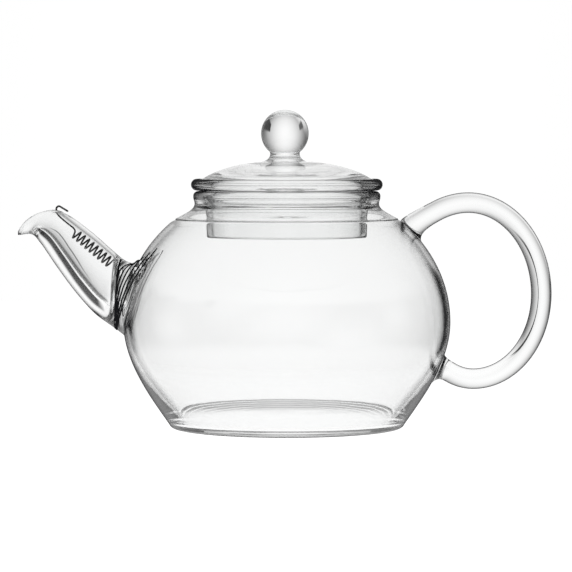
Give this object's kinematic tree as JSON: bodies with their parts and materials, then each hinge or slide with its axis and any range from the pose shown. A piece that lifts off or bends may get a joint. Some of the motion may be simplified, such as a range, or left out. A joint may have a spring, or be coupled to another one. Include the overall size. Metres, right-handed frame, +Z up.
{
  "type": "teapot",
  "caption": "Round clear glass teapot with a straight spout, a solid ring handle, a domed lid with a ball knob and a wire strainer hooked in the spout.",
  "frame": {"origin": "on the table plane, under the vertical axis of the bowl", "axes": "+Z up, +X from the spout towards the handle, +Y completes the right-handed frame"},
  "size_m": [0.1956, 0.12, 0.1166],
  "materials": {
    "clear_glass": "clear, fire-polished",
    "lid_glass": "clear, fire-polished, faint drawing lines",
    "steel_wire": "bright drawn wire"
  },
  "bodies": {
    "pot": {"bowl": "clear_glass", "neck_ring": "clear_glass", "spout_tube": "clear_glass", "spout_weld": "clear_glass", "handle_rod": "clear_glass", "handle_upper_weld": "clear_glass", "handle_lower_weld": "clear_glass"},
    "lid": {"lid_dome": "lid_glass", "lid_collar": "lid_glass", "knob_ball": "lid_glass", "knob_stem": "lid_glass"},
    "strainer": {"strainer_wire": "steel_wire"}
  },
  "joints": [
    {"name": "lid_lift", "type": "slide", "parent": "pot", "child": "lid", "axis": [0, 0, 1], "range_m": [0, 0.03]},
    {"name": "strainer_pull", "type": "slide", "parent": "pot", "child": "strainer", "axis": [-0.7986, 0, 0.6018], "range_m": [0, 0.03]}
  ]
}
